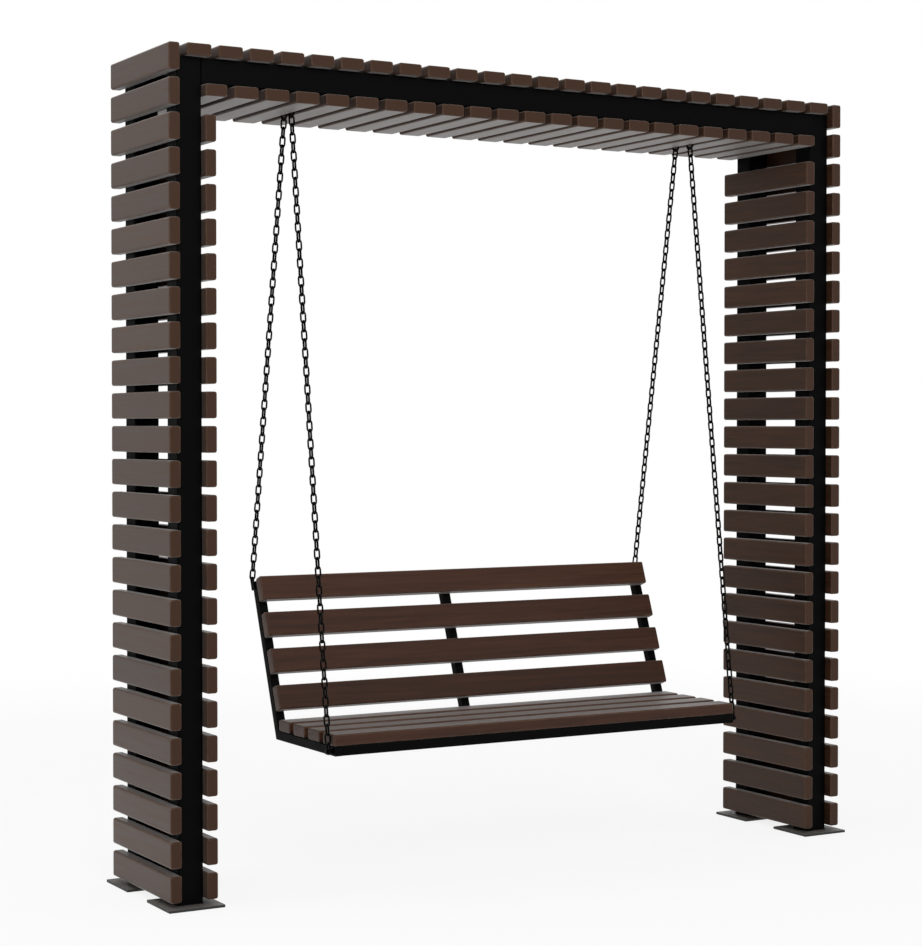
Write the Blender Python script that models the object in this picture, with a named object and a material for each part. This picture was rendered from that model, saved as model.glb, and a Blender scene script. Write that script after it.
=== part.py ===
"""A hanging bench in a slatted timber portal, built as the separate pieces it is made of.

Metres, +Z up. The origin is on the ground in the middle of the portal. The bench faces -Y.
Four steel posts stand on base plates. Timber slats clad them outside and inside, and roof and
ceiling slats lie over and under two beams. Two hanger bars between the beams carry four eye bolts,
and four link chains hang from these: the rear pair holds the bench at the top of its back, the
front pair at the front corners of its seat.
"""

import math

import bmesh
import bpy
from mathutils import Matrix, Vector

# Play between two pieces that lie against each other
FIT_GAP = 0.0003

# Timber slats of the portal
SLAT_WIDTH = 0.080
SLAT_THICKNESS = 0.036
SLAT_LENGTH = 0.475
SLAT_EASE = 0.004
ROW_GAP = 0.0225
OUTER_ROWS = 25
INNER_ROWS = 23
FIRST_ROW_HEIGHT = 0.0228
ROOF_SLATS = 24
ROOF_GAP = 0.0216
ROOF_STEP = 0.0022

# Steel posts, beams and base plates
POST_SIDE = 0.080
POST_SETBACK = 0.0285
TUBE_WALL = 0.003
PLATE_SIDE = 0.180
PLATE_THICKNESS = 0.008

# Hanger bars over the ceiling, at the gap with this number from the middle
HANG_GAP_NUMBER = 8
BAR_SIDE = 0.040
BAR_WALL = 0.003
BAR_HOLE_PLAY = 0.0005

# Eye bolts
EYE_REAR_Y = 0.047
EYE_FRONT_Y = -0.0246
EYE_DROP = 0.0045
EYE_WIRE = 0.007
EYE_RADIUS = 0.0135
EYE_PLAY = 0.0005
EYE_SHANK = 0.010
EYE_NUT_WIDTH = 0.017
EYE_NUT_HEIGHT = 0.008
EYE_WASHER = 0.020
EYE_WASHER_HEIGHT = 0.002
EYE_TAIL = 0.006

# Chains of round wire
CHAIN_WIRE = 0.0065
LINK_WIDTH = 0.0225
LINK_PITCH = 0.0282
BEARING_PLAY = 0.0003
BOW_CORE_SHARE = 0.68
BOW_LENGTH_SHARE = 0.92

# Steel frame of the bench
FRAME_SIDE = 0.030
FRAME_WALL = 0.002
SEAT_HEIGHT = 0.495
SEAT_FRONT_Y = -0.297
SEAT_SLATS = 4
SEAT_GAP = 0.0256
SEAT_REAR_GAP = 0.0011
BENCH_END_SETBACK = 0.006
MIDDLE_FRAME_X = -0.053
BACK_SLATS = 4
BACK_GAP = 0.042
BACK_LEAN = math.radians(20.2)
BACK_CLEARANCE = 0.0262
UPRIGHT_DROP = 0.006
BENCH_SLAT_EASE = 0.005

# Lugs at the tops of the bench's uprights
LUG_THICKNESS = 0.005
LUG_WIDTH = 0.022
LUG_TAIL = 0.025
LUG_RISE = 0.0096
LUG_BACK = 0.0189
LUG_HOLE_RADIUS = 0.005

# Bolts at the front corners of the seat
BOLT_SETBACK = 0.018
BOLT_RISE = 0.0135
BOLT_DIAMETER = 0.008
BOLT_HEAD_WIDTH = 0.013
BOLT_HEAD_HEIGHT = 0.0053
BOLT_WASHER = 0.018
BOLT_WASHER_HEIGHT = 0.0016
BOLT_NUT_HEIGHT = 0.0065
BOLT_TAIL = 0.002
BOLT_HOLE_PLAY = 0.0003
COLLAR_LENGTH = 0.0076
COLLAR_DIAMETER = 0.016

# Facets of round forms, and how shapes are cut and shaded
ROUND_SIDES = 12
HOLE_SIDES = 8
BOW_SIDES = 8
LUG_ROUND_STEPS = 8
EYE_STEPS = 16
EYE_SIDES = 6
EASE_STEPS = 1
ROUND_PROFILE = 0.5
CUT_OVERRUN = 0.010
SAME_PLACE = 0.00001
SMOOTH_ANGLE = math.radians(40)
QUARTER_TURN = math.radians(90)
SIXTH_TURN = math.radians(60)
SIGNS = (-1, 1)
SIDES = (("left", -1), ("right", 1))

# Portal, worked out from the sizes above
ROW_PITCH = SLAT_WIDTH + ROW_GAP
ROOF_PITCH = SLAT_WIDTH + ROOF_GAP
POST_OUTER_X = (ROOF_SLATS * SLAT_WIDTH + (ROOF_SLATS + 1) * ROOF_GAP) / 2
POST_INNER_X = POST_OUTER_X - POST_SIDE
POST_Y = SLAT_LENGTH / 2 - POST_SETBACK - POST_SIDE / 2
FRONT_POST_SPAN = (-POST_Y - POST_SIDE / 2, -POST_Y + POST_SIDE / 2)
REAR_POST_SPAN = (POST_Y - POST_SIDE / 2, POST_Y + POST_SIDE / 2)
SLAT_SPAN = (-SLAT_LENGTH / 2, SLAT_LENGTH / 2)
OUTER_TOP_Z = FIRST_ROW_HEIGHT + (OUTER_ROWS - 1) * ROW_PITCH + SLAT_WIDTH
ROOF_UNDER_Z = OUTER_TOP_Z + ROOF_STEP - SLAT_THICKNESS
BEAM_UNDER_Z = ROOF_UNDER_Z - POST_SIDE
CEILING_UNDER_Z = BEAM_UNDER_Z - FIT_GAP - SLAT_THICKNESS
BAR_TOP_Z = BEAM_UNDER_Z + BAR_SIDE
HANG_X = (HANG_GAP_NUMBER - 1 / 2) * ROOF_PITCH

# Bench, worked out from the sizes above
BENCH_END_X = HANG_X - BENCH_END_SETBACK
FRAME_INNER_X = BENCH_END_X - FRAME_SIDE
RAIL_TOP_Z = SEAT_HEIGHT - SLAT_THICKNESS - FIT_GAP
RAIL_UNDER_Z = RAIL_TOP_Z - FRAME_SIDE
SEAT_PITCH = SLAT_WIDTH + SEAT_GAP
BACK_PITCH = SLAT_WIDTH + BACK_GAP
BACK_START = SLAT_THICKNESS + FIT_GAP + BACK_CLEARANCE
BACK_REACH = BACK_START + (BACK_SLATS - 1) * BACK_PITCH + SLAT_WIDTH
SEAT_REAR_Y = SEAT_FRONT_Y + (SEAT_SLATS - 1) * SEAT_PITCH + SLAT_WIDTH
UPRIGHT_END = BACK_REACH - UPRIGHT_DROP
UPRIGHT_FOOT = Vector((0, SEAT_REAR_Y + SEAT_REAR_GAP, RAIL_TOP_Z))
UP_THE_BACK = Vector((0, math.sin(BACK_LEAN), math.cos(BACK_LEAN)))
BEHIND_THE_BACK = Vector((0, math.cos(BACK_LEAN), -math.sin(BACK_LEAN)))

# Chain planes and pivots, worked out from the sizes above
REAR_CHAIN_X = BENCH_END_X + FIT_GAP + LUG_THICKNESS / 2
FRONT_CHAIN_X = BENCH_END_X + 2 * FIT_GAP + COLLAR_LENGTH + CHAIN_WIRE / 2
TOP_PIVOT_Z = CEILING_UNDER_Z - EYE_DROP
EYE_CENTRE_Z = TOP_PIVOT_Z - CHAIN_WIRE / 2 - EYE_PLAY + EYE_RADIUS
LINK_INNER_HALF = LINK_WIDTH / 2 - CHAIN_WIRE
BOLT_TO_BOW = BOLT_DIAMETER / 2 + BEARING_PLAY + CHAIN_WIRE / 2


def back_point(along, behind):
    """A point this far up the upright from the seat rail's top and this far behind its front."""
    return UPRIGHT_FOOT + UP_THE_BACK * along + BEHIND_THE_BACK * behind


def level_point(height, behind):
    """The point at this height on the line that runs this far behind the upright's front."""
    rise = height - RAIL_TOP_Z + behind * math.sin(BACK_LEAN)
    return back_point(rise / math.cos(BACK_LEAN), behind)


REAR_TOP = Vector((0, EYE_REAR_Y, TOP_PIVOT_Z))
REAR_LOW = back_point(UPRIGHT_END + LUG_RISE, LUG_BACK)
FRONT_TOP = Vector((0, EYE_FRONT_Y, TOP_PIVOT_Z))
FRONT_LOW = Vector((0, SEAT_FRONT_Y + BOLT_SETBACK, RAIL_UNDER_Z + BOLT_RISE))

# Colour, roughness and metallic value of each finish
STAINED_TIMBER = ((0.055, 0.030, 0.020), 0.45, 0.0)
BLACK_PAINT = ((0.006, 0.006, 0.006), 0.40, 0.0)
DARK_PLATE = ((0.030, 0.029, 0.028), 0.50, 0.0)
BLACK_ZINC = ((0.012, 0.012, 0.012), 0.35, 1.0)


def clear_scene():
    for obj in list(bpy.data.objects):
        bpy.data.objects.remove(obj)


def finished_mesh(bm, name):
    """A mesh whose faces all point out. Edges sharper than the smooth angle stay sharp."""
    bmesh.ops.recalc_face_normals(bm, faces=bm.faces)
    if bm.calc_volume(signed=True) < 0:
        bmesh.ops.reverse_faces(bm, faces=bm.faces)
    mesh = bpy.data.meshes.new(name)
    bm.to_mesh(mesh)
    bm.free()
    mesh.shade_smooth()
    mesh.set_sharp_from_angle(angle=SMOOTH_ANGLE)
    return mesh


def pivot(name, spot):
    """An empty on a joint's axis, which the pieces that turn about it hang from."""
    empty = bpy.data.objects.new(name, None)
    empty.location = spot
    bpy.context.scene.collection.objects.link(empty)
    return empty


def piece(name, mesh, finish, spot=(0, 0, 0), turn=0, parent=None):
    """A named piece at a world place, turned about X and hung from an unturned parent."""
    obj = bpy.data.objects.new(name, mesh)
    bpy.context.scene.collection.objects.link(obj)
    obj.location = spot
    obj.rotation_euler.x = turn
    if parent:
        obj.parent = parent
        obj.location -= parent.location
    colour, roughness, metallic = finish
    material = bpy.data.materials.new(name)
    material.use_nodes = True
    shader = material.node_tree.nodes["Principled BSDF"]
    shader.inputs["Base Color"].default_value = (*colour, 1)
    shader.inputs["Roughness"].default_value = roughness
    shader.inputs["Metallic"].default_value = metallic
    if not mesh.materials:
        mesh.materials.append(None)
    obj.material_slots[0].link = "OBJECT"
    obj.material_slots[0].material = material
    return obj


def helper(host, mesh, operation):
    """Adds or cuts a hidden shape that has the host's own place and turn."""
    tool = bpy.data.objects.new(mesh.name, mesh)
    bpy.context.scene.collection.objects.link(tool)
    tool.parent = host
    tool.hide_render = True
    tool.display_type = "WIRE"
    modifier = host.modifiers.new(mesh.name, "BOOLEAN")
    modifier.operation = operation
    modifier.object = tool


def draw_out(bm, way):
    """Makes flat faces into a solid by drawing them out along a vector."""
    flat = bm.faces[:] + bm.edges[:]
    made = bmesh.ops.extrude_face_region(bm, geom=flat, use_keep_orig=True)
    moved = [item for item in made["geom"] if isinstance(item, bmesh.types.BMVert)]
    bmesh.ops.translate(bm, vec=way, verts=moved)


def box(low, high):
    bm = bmesh.new()
    low, high = Vector(low), Vector(high)
    bmesh.ops.create_cube(bm, size=1)
    bmesh.ops.scale(bm, vec=high - low, verts=bm.verts)
    bmesh.ops.translate(bm, vec=(low + high) / 2, verts=bm.verts)
    return bm


def side_outline(outline, ends):
    """Side view points (y, z), filled and drawn out along X from one end to the other."""
    bm = bmesh.new()
    bm.faces.new([bm.verts.new((ends[0], y, z)) for y, z in outline])
    draw_out(bm, (ends[1] - ends[0], 0, 0))
    return bm


def rod(centre, radius, ends, sides):
    """A round rod along X, round the point (y, z)."""
    y, z = centre
    turns = [2 * math.pi * k / sides for k in range(sides)]
    outline = [(y + radius * math.cos(turn), z + radius * math.sin(turn)) for turn in turns]
    return side_outline(outline, ends)


def round_step(end, diameter):
    return (end, [diameter / 2] * ROUND_SIDES)


def hexagon_step(end, width):
    """A six-sided step of this width across its flats: every second point is on a flat."""
    flat = width / 2
    return (end, [flat if k % 2 else flat / math.cos(SIXTH_TURN / 2) for k in range(ROUND_SIDES)])


def stepped_rod(start, steps, side=1):
    """A bolt or pin along X, as steps of (end, radii) that follow each other from the start."""
    bm = bmesh.new()
    turns = [2 * math.pi * k / ROUND_SIDES for k in range(ROUND_SIDES)]
    rings = []
    for end, radii in steps:
        for x in (start, end):
            points = [(r * math.cos(turn), r * math.sin(turn)) for r, turn in zip(radii, turns)]
            rings.append([bm.verts.new((side * x, y, z)) for y, z in points])
        start = end
    for one, other in zip(rings, rings[1:]):
        for k in range(ROUND_SIDES):
            bm.faces.new((one[k - 1], one[k], other[k], other[k - 1]))
    bm.faces.new(rings[0])
    bm.faces.new(rings[-1])
    return bm


def stand_up(bm, spot=(0, 0)):
    """Turns what runs along X so that it runs up Z, round the point (x, y)."""
    bmesh.ops.rotate(bm, matrix=Matrix.Rotation(-QUARTER_TURN, 3, "Y"), verts=bm.verts)
    bmesh.ops.translate(bm, vec=(*spot, 0), verts=bm.verts)
    return bm


def face_at(bm, axis, end):
    """The flat face that lies wholly at this place along an axis."""
    near = [f for f in bm.faces if all(abs(v.co[axis] - end) < SAME_PLACE for v in f.verts)]
    return near[0]


def hollow_out(bm, axis, end, wall, depth):
    """Opens a tube at one end: draws the end face in by the wall and pushes it in."""
    face = face_at(bm, axis, end)
    bmesh.ops.inset_individual(bm, faces=[face], thickness=wall)
    made = bmesh.ops.extrude_discrete_faces(bm, faces=[face])
    push = Vector((0, 0, 0))
    push[axis] = depth
    bmesh.ops.translate(bm, vec=push, verts=made["faces"][0].verts)


def hollow_through(bm, axis, ends, wall):
    """Opens a tube from one end to the other."""
    rims = []
    for face in [face_at(bm, axis, end) for end in ends]:
        bmesh.ops.inset_individual(bm, faces=[face], thickness=wall)
        rims += face.edges[:]
        bmesh.ops.delete(bm, geom=[face], context="FACES_ONLY")
    bmesh.ops.bridge_loops(bm, edges=rims)


def ease(bm, edges, width):
    bmesh.ops.bevel(
        bm, geom=edges, offset=width, segments=EASE_STEPS, profile=ROUND_PROFILE, affect="EDGES"
    )


def slat_rows(first, pitch, count):
    """(start, end) of each of a row of slats."""
    return [(first + pitch * k, first + pitch * k + SLAT_WIDTH) for k in range(count)]


def is_slat_end(face, side, seat):
    at_side = all(abs(vertex.co.y - side) < SAME_PLACE for vertex in face.verts)
    return at_side and face.calc_center_median().z > seat


def clad_tube(tube, across, depth, rows):
    """A square tube along x with slats fixed across its +z side, in its own axes.

    Tube is its (start, end) along x, across its (low, high) in y, depth its (low, high) in z,
    and rows the (start, end) of each slat along x.
    """
    bm = bmesh.new()
    seat = depth[1]
    crown = seat + SLAT_THICKNESS
    marks = sorted({mark for row in rows for mark in row} | set(tube))
    on_seat = {mark: bm.verts.new((mark, across[0], seat)) for mark in marks}
    back = [bm.verts.new((end, across[0], depth[0])) for end in tube]
    bm.faces.new(back + [on_seat[mark] for mark in reversed(marks) if tube[0] <= mark <= tube[1]])
    for start, end in rows:
        under = [on_seat[mark] for mark in marks if start <= mark <= end]
        bm.faces.new(under + [bm.verts.new((mark, across[0], crown)) for mark in (end, start)])
    draw_out(bm, (0, across[1] - across[0], 0))
    for side, reach in zip(across, SLAT_SPAN):
        caps = [face for face in bm.faces if is_slat_end(face, side, seat)]
        made = bmesh.ops.extrude_discrete_faces(bm, faces=caps)
        moved = {vertex for face in made["faces"] for vertex in face.verts}
        bmesh.ops.translate(bm, vec=(0, reach - side, 0), verts=list(moved))
    return bm


def eased_slat(name, size, width):
    """A slat with its middle at the origin and the edges along its longest side rounded."""
    half = Vector(size) / 2
    bm = box(-half, half)
    longest = max(range(3), key=lambda axis: half[axis])
    ends = [[vertex.co[longest] for vertex in edge.verts] for edge in bm.edges]
    ease(bm, [edge for edge, (one, other) in zip(bm.edges, ends) if one * other < 0], width)
    return finished_mesh(bm, name)


def make_leg(word, side):
    """Two posts: the front one carries the outer slats, the rear one the inner slats."""
    tube = (PLATE_THICKNESS + FIT_GAP, ROOF_UNDER_Z - FIT_GAP)
    outer_rows = slat_rows(FIRST_ROW_HEIGHT, ROW_PITCH, OUTER_ROWS)
    inner_rows = slat_rows(FIRST_ROW_HEIGHT, ROW_PITCH, INNER_ROWS)
    outer_depth = (POST_INNER_X + FIT_GAP, POST_OUTER_X)
    inner_depth = (-POST_OUTER_X + FIT_GAP, -POST_INNER_X)
    front = clad_tube(tube, FRONT_POST_SPAN, outer_depth, outer_rows)
    rear = clad_tube(tube, REAR_POST_SPAN, inner_depth, inner_rows)
    for end, bm, way in (("front", front, side), ("rear", rear, -side)):
        hollow_out(bm, 0, tube[0], TUBE_WALL, tube[1] - tube[0] - TUBE_WALL)
        bm.transform(Matrix(((0, 0, way, 0), (0, 1, 0, 0), (1, 0, 0, 0), (0, 0, 0, 1))))
        name = f"{word}_{end}_post_with_slats"
        piece(name, finished_mesh(bm, name), STAINED_TIMBER)


def make_base_plates():
    half = PLATE_SIDE / 2
    mesh = finished_mesh(box((-half, -half, 0), (half, half, PLATE_THICKNESS)), "base_plate")
    post_x = (POST_OUTER_X + POST_INNER_X) / 2
    for word, side in SIDES:
        for end, y in (("front", -POST_Y), ("rear", POST_Y)):
            piece(f"{word}_{end}_base_plate", mesh, DARK_PLATE, spot=(side * post_x, y, 0))


def make_beams():
    """The front beam carries the roof slats. The rear beam is bare."""
    ends = (-POST_INNER_X, POST_INNER_X)
    rows = slat_rows(ROOF_GAP - POST_OUTER_X, ROOF_PITCH, ROOF_SLATS)
    bm = clad_tube(ends, FRONT_POST_SPAN, (BEAM_UNDER_Z, ROOF_UNDER_Z), rows)
    hollow_through(bm, 0, ends, TUBE_WALL)
    piece("front_beam_with_roof", finished_mesh(bm, "front_beam_with_roof"), STAINED_TIMBER)
    ends = (-POST_INNER_X + FIT_GAP, POST_INNER_X - FIT_GAP)
    low = (ends[0], REAR_POST_SPAN[0], BEAM_UNDER_Z)
    bm = box(low, (ends[1], REAR_POST_SPAN[1], ROOF_UNDER_Z - FIT_GAP))
    hollow_through(bm, 0, ends, TUBE_WALL)
    piece("rear_beam", finished_mesh(bm, "rear_beam"), BLACK_PAINT)


def make_ceiling():
    """Slats under the beams, each below a gap of the roof. The end ones are ripped to fit."""
    middle_z = CEILING_UNDER_Z + SLAT_THICKNESS / 2
    full = eased_slat("ceiling_slat", (SLAT_WIDTH, SLAT_LENGTH, SLAT_THICKNESS), SLAT_EASE)
    count = ROOF_SLATS - 1
    for k in range(count):
        x = (k - (count - 1) / 2) * ROOF_PITCH
        over = abs(x) + SLAT_WIDTH / 2 - (POST_INNER_X - FIT_GAP)
        mesh = full
        if over > 0:
            x -= math.copysign(over / 2, x)
            size = (SLAT_WIDTH - over, SLAT_LENGTH, SLAT_THICKNESS)
            mesh = eased_slat("ripped_ceiling_slat", size, SLAT_EASE)
        piece(f"ceiling_slat_{k + 1:02d}", mesh, STAINED_TIMBER, spot=(x, 0, middle_z))


def make_hanger_bar(word, side):
    """A square tube between the beams, with a hole for each eye bolt."""
    name = f"{word}_hanger_bar"
    ends = (FRONT_POST_SPAN[1] + FIT_GAP, REAR_POST_SPAN[0] - FIT_GAP)
    left = side * HANG_X - BAR_SIDE / 2
    bm = box((left, ends[0], BEAM_UNDER_Z), (left + BAR_SIDE, ends[1], BAR_TOP_Z))
    hollow_through(bm, 1, ends, BAR_WALL)
    bar = piece(name, finished_mesh(bm, name), BLACK_PAINT)
    radius = EYE_SHANK / 2 + BAR_HOLE_PLAY
    cut = (BEAM_UNDER_Z - CUT_OVERRUN, BAR_TOP_Z + CUT_OVERRUN)
    for x, y in ((REAR_CHAIN_X, EYE_REAR_Y), (FRONT_CHAIN_X, EYE_FRONT_Y)):
        hole = stand_up(rod((0, 0), radius, cut, HOLE_SIDES), (side * x, y))
        helper(bar, finished_mesh(hole, f"{name}_hole"), "DIFFERENCE")


def eye_ring():
    """The bolt's ring in the YZ plane, middle at the origin."""
    bm = bmesh.new()
    turns = [2 * math.pi * k / EYE_SIDES for k in range(EYE_SIDES)]
    half_wire = EYE_WIRE / 2
    middle = EYE_RADIUS + half_wire
    section = [
        bm.verts.new((half_wire * math.cos(turn), 0, middle + half_wire * math.sin(turn)))
        for turn in turns
    ]
    loop = [bm.edges.new(pair) for pair in zip(section, section[1:] + section[:1])]
    bmesh.ops.spin(
        bm,
        geom=section + loop,
        cent=(0, 0, 0),
        axis=(1, 0, 0),
        angle=2 * math.pi,
        steps=EYE_STEPS,
        use_merge=True,
    )
    return bm


def make_eye_bolts():
    """Ring, shank, washer and nut of each bolt that a chain hangs from."""
    washer_under = BAR_TOP_Z + FIT_GAP - EYE_CENTRE_Z
    nut_under = washer_under + EYE_WASHER_HEIGHT
    nut_top = nut_under + EYE_NUT_HEIGHT
    steps = (
        round_step(washer_under, EYE_SHANK),
        round_step(nut_under, EYE_WASHER),
        hexagon_step(nut_top, EYE_NUT_WIDTH),
        round_step(nut_top + EYE_TAIL, EYE_SHANK),
    )
    shank = stand_up(stepped_rod(EYE_RADIUS + EYE_WIRE / 2, steps))
    shank_mesh = finished_mesh(shank, "eye_shank")
    ring_mesh = finished_mesh(eye_ring(), "eye_ring")
    for word, side in SIDES:
        for end, x, y in (("rear", REAR_CHAIN_X, EYE_REAR_Y), ("front", FRONT_CHAIN_X, EYE_FRONT_Y)):
            spot = (side * x, y, EYE_CENTRE_Z)
            bolt = piece(f"{word}_{end}_eye_bolt", ring_mesh, BLACK_ZINC, spot=spot)
            helper(bolt, shank_mesh, "UNION")


def in_link(flat, out, through, up):
    """Puts a link's own directions in order: a flat-on link lies in XZ, an edge-on one in YZ."""
    return (out, through, up) if flat else (through, out, up)


def bearing_block(bm, top_half, low_half, height):
    """Corners of the block where two links bear on each other, keyed by their signs."""
    half = {1: top_half, -1: low_half}
    return {
        (x, y, z): bm.verts.new((x * half[z][0], y * half[z][1], height + z * half[z][2]))
        for x in SIGNS
        for y in SIGNS
        for z in SIGNS
    }


def joint_block(bm, flat_above, height):
    """The block between two links. Each side of it is as wide as the inside of its own link."""
    half = CHAIN_WIRE / 2
    top_half = in_link(flat_above, LINK_INNER_HALF, half, half)
    return bearing_block(bm, top_half, in_link(not flat_above, LINK_INNER_HALF, half, half), height)


def end_block(bm, flat, is_round, height):
    """The bow at a chain's end. Where it turns in a ring or a hole, a round bar goes over it."""
    half = CHAIN_WIRE / 2
    if is_round:
        half *= BOW_CORE_SHARE
    size = in_link(flat, LINK_INNER_HALF, half, half)
    return bearing_block(bm, size, size, height)


def close_block(bm, block, flat=None):
    """Closes a block's top and bottom and, at a chain's end, its sides across the link."""
    around = ((-1, -1), (-1, 1), (1, 1), (1, -1))
    for up in SIGNS:
        bm.faces.new([block[x, y, up] for x, y in around])
    if flat is None:
        return
    for through in SIGNS:
        bm.faces.new([block[in_link(flat, out, through, up)] for out, up in around])


def add_leg(bm, upper, lower, flat, side, bends):
    """One side of a link, bent at two heights, from the block above it to the block below it."""
    outer, inner = {}, {}
    for face in SIGNS:
        through = face * CHAIN_WIRE / 2
        top, low = (bm.verts.new(in_link(flat, side * LINK_WIDTH / 2, through, z)) for z in bends)
        outer[face] = (upper[in_link(flat, side, face, 1)], top, low, lower[in_link(flat, side, face, -1)])
        inner[face] = (upper[in_link(flat, side, face, -1)], lower[in_link(flat, side, face, 1)])
        bm.faces.new((outer[face][0], top, inner[face][0]))
        bm.faces.new((top, low, inner[face][1], inner[face][0]))
        bm.faces.new((low, outer[face][3], inner[face][1]))
    for rail in (outer, inner):
        for k in range(len(rail[1]) - 1):
            bm.faces.new((rail[-1][k], rail[-1][k + 1], rail[1][k + 1], rail[1][k]))


def chain_mesh(name, top, bottom, flat_end):
    """Links along Z from the middle of the top bow to the middle of the bottom one.

    The top link lies flat-on. Flat_end says how the last link lies, which fixes whether the
    number of links is odd or even. Links next to each other are joined where they bear.
    """
    length = top - bottom - CHAIN_WIRE
    odd = 1 if flat_end else 0
    count = odd + 2 * round((length / LINK_PITCH - odd) / 2)
    pitch = length / count
    half = CHAIN_WIRE / 2
    heights = [top] + [top - half - pitch * k for k in range(1, count)] + [bottom]
    bm = bmesh.new()
    blocks = [end_block(bm, True, True, top)]
    blocks += [joint_block(bm, k % 2 == 1, heights[k]) for k in range(1, count)]
    blocks.append(end_block(bm, flat_end, flat_end, bottom))
    close_block(bm, blocks[0], True)
    for block in blocks[1:-1]:
        close_block(bm, block)
    close_block(bm, blocks[-1], flat_end)
    shoulder = LINK_WIDTH / 2 - half
    for k in range(count):
        bends = (heights[k] - shoulder, heights[k + 1] + shoulder)
        for side in SIGNS:
            add_leg(bm, blocks[k], blocks[k + 1], k % 2 == 0, side, bends)
    return finished_mesh(bm, name)


def round_bow(name, height):
    """The round part of an end link's bow, which turns in a ring or a hole."""
    reach = LINK_INNER_HALF * BOW_LENGTH_SHARE
    return finished_mesh(rod((0, height), CHAIN_WIRE / 2, (-reach, reach), BOW_SIDES), name)


def chain_turn(top, low):
    """Turn about X that leans a chain from its lower end to its top."""
    return math.atan2(low.y - top.y, top.z - low.z)


def make_chains():
    """Two rear chains turn about their top bows, two front chains about the bench's bolts."""
    drop = (REAR_TOP - REAR_LOW).length
    mesh = chain_mesh("rear_chain", 0, -drop, True)
    bows = (round_bow("rear_chain_top_bow", 0), round_bow("rear_chain_low_bow", -drop))
    rear_pivot = pivot("rear_chains_pivot", REAR_TOP)
    turn = chain_turn(REAR_TOP, REAR_LOW)
    for word, side in SIDES:
        spot = REAR_TOP + Vector((side * REAR_CHAIN_X, 0, 0))
        chain = piece(f"{word}_rear_chain", mesh, BLACK_ZINC, spot, turn, rear_pivot)
        for bow in bows:
            helper(chain, bow, "UNION")
    rise = (FRONT_TOP - FRONT_LOW).length
    mesh = chain_mesh("front_chain", rise, -BOLT_TO_BOW, False)
    bow = round_bow("front_chain_top_bow", rise)
    front_pivot = pivot("front_chains_pivot", FRONT_LOW)
    turn = chain_turn(FRONT_TOP, FRONT_LOW)
    for word, side in SIDES:
        spot = FRONT_LOW + Vector((side * FRONT_CHAIN_X, 0, 0))
        chain = piece(f"{word}_front_chain", mesh, BLACK_ZINC, spot, turn, front_pivot)
        helper(chain, bow, "UNION")


def frame_outline(inset, front_y):
    """Side view of the seat rail and upright, drawn in all round by the inset but for its front."""
    floor = RAIL_UNDER_Z + inset
    top = RAIL_TOP_Z - inset
    front, rear = inset, FRAME_SIDE - inset
    corners = (
        level_point(floor, rear),
        back_point(UPRIGHT_END - inset, rear),
        back_point(UPRIGHT_END - inset, front),
        level_point(top, front),
    )
    return [(front_y, floor)] + [(corner.y, corner.z) for corner in corners] + [(front_y, top)]


def make_frames(parent):
    """Three welded rail-and-upright frames. The outer two run to the front and take the bolts."""
    butt_y = SEAT_FRONT_Y + FRAME_SIDE + FIT_GAP
    middle = (MIDDLE_FRAME_X - FRAME_SIDE / 2, MIDDLE_FRAME_X + FRAME_SIDE / 2)
    places = {
        "left_frame": (-BENCH_END_X, -FRAME_INNER_X),
        "middle_frame": middle,
        "right_frame": (FRAME_INNER_X, BENCH_END_X),
    }
    radius = BOLT_DIAMETER / 2 + BOLT_HOLE_PLAY
    for name, (low, high) in places.items():
        inner = (low + FRAME_WALL, high - FRAME_WALL)
        front_y, hollow_y = SEAT_FRONT_Y, SEAT_FRONT_Y + FRAME_WALL
        if name == "middle_frame":
            front_y, hollow_y = butt_y, butt_y - CUT_OVERRUN
        solid = finished_mesh(side_outline(frame_outline(0, front_y), (low, high)), name)
        frame = piece(name, solid, BLACK_PAINT, parent=parent)
        hollow = side_outline(frame_outline(FRAME_WALL, hollow_y), inner)
        helper(frame, finished_mesh(hollow, f"{name}_hollow"), "DIFFERENCE")
        if name != "middle_frame":
            cut = (low - CUT_OVERRUN, high + CUT_OVERRUN)
            hole = rod((FRONT_LOW.y, FRONT_LOW.z), radius, cut, HOLE_SIDES)
            helper(frame, finished_mesh(hole, f"{name}_bolt_hole"), "DIFFERENCE")


def make_front_rail(parent):
    ends = (-FRAME_INNER_X + FIT_GAP, FRAME_INNER_X - FIT_GAP)
    bm = box(
        (ends[0], SEAT_FRONT_Y, RAIL_UNDER_Z), (ends[1], SEAT_FRONT_Y + FRAME_SIDE, RAIL_TOP_Z)
    )
    hollow_through(bm, 0, ends, FRAME_WALL)
    piece("front_rail", finished_mesh(bm, "front_rail"), BLACK_PAINT, parent=parent)


def make_bench_slats(parent):
    size = (2 * BENCH_END_X, SLAT_WIDTH, SLAT_THICKNESS)
    mesh = eased_slat("seat_slat", size, BENCH_SLAT_EASE)
    middle_z = RAIL_TOP_Z + FIT_GAP + SLAT_THICKNESS / 2
    for k in range(SEAT_SLATS):
        spot = (0, SEAT_FRONT_Y + k * SEAT_PITCH + SLAT_WIDTH / 2, middle_z)
        piece(f"seat_slat_{k + 1}", mesh, STAINED_TIMBER, spot=spot, parent=parent)
    size = (2 * BENCH_END_X, SLAT_THICKNESS, SLAT_WIDTH)
    mesh = eased_slat("back_slat", size, BENCH_SLAT_EASE)
    for k in range(BACK_SLATS):
        along = BACK_REACH - k * BACK_PITCH - SLAT_WIDTH / 2
        spot = back_point(along, -FIT_GAP - SLAT_THICKNESS / 2)
        piece(f"back_slat_{k + 1}", mesh, STAINED_TIMBER, spot, -BACK_LEAN, parent)


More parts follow.
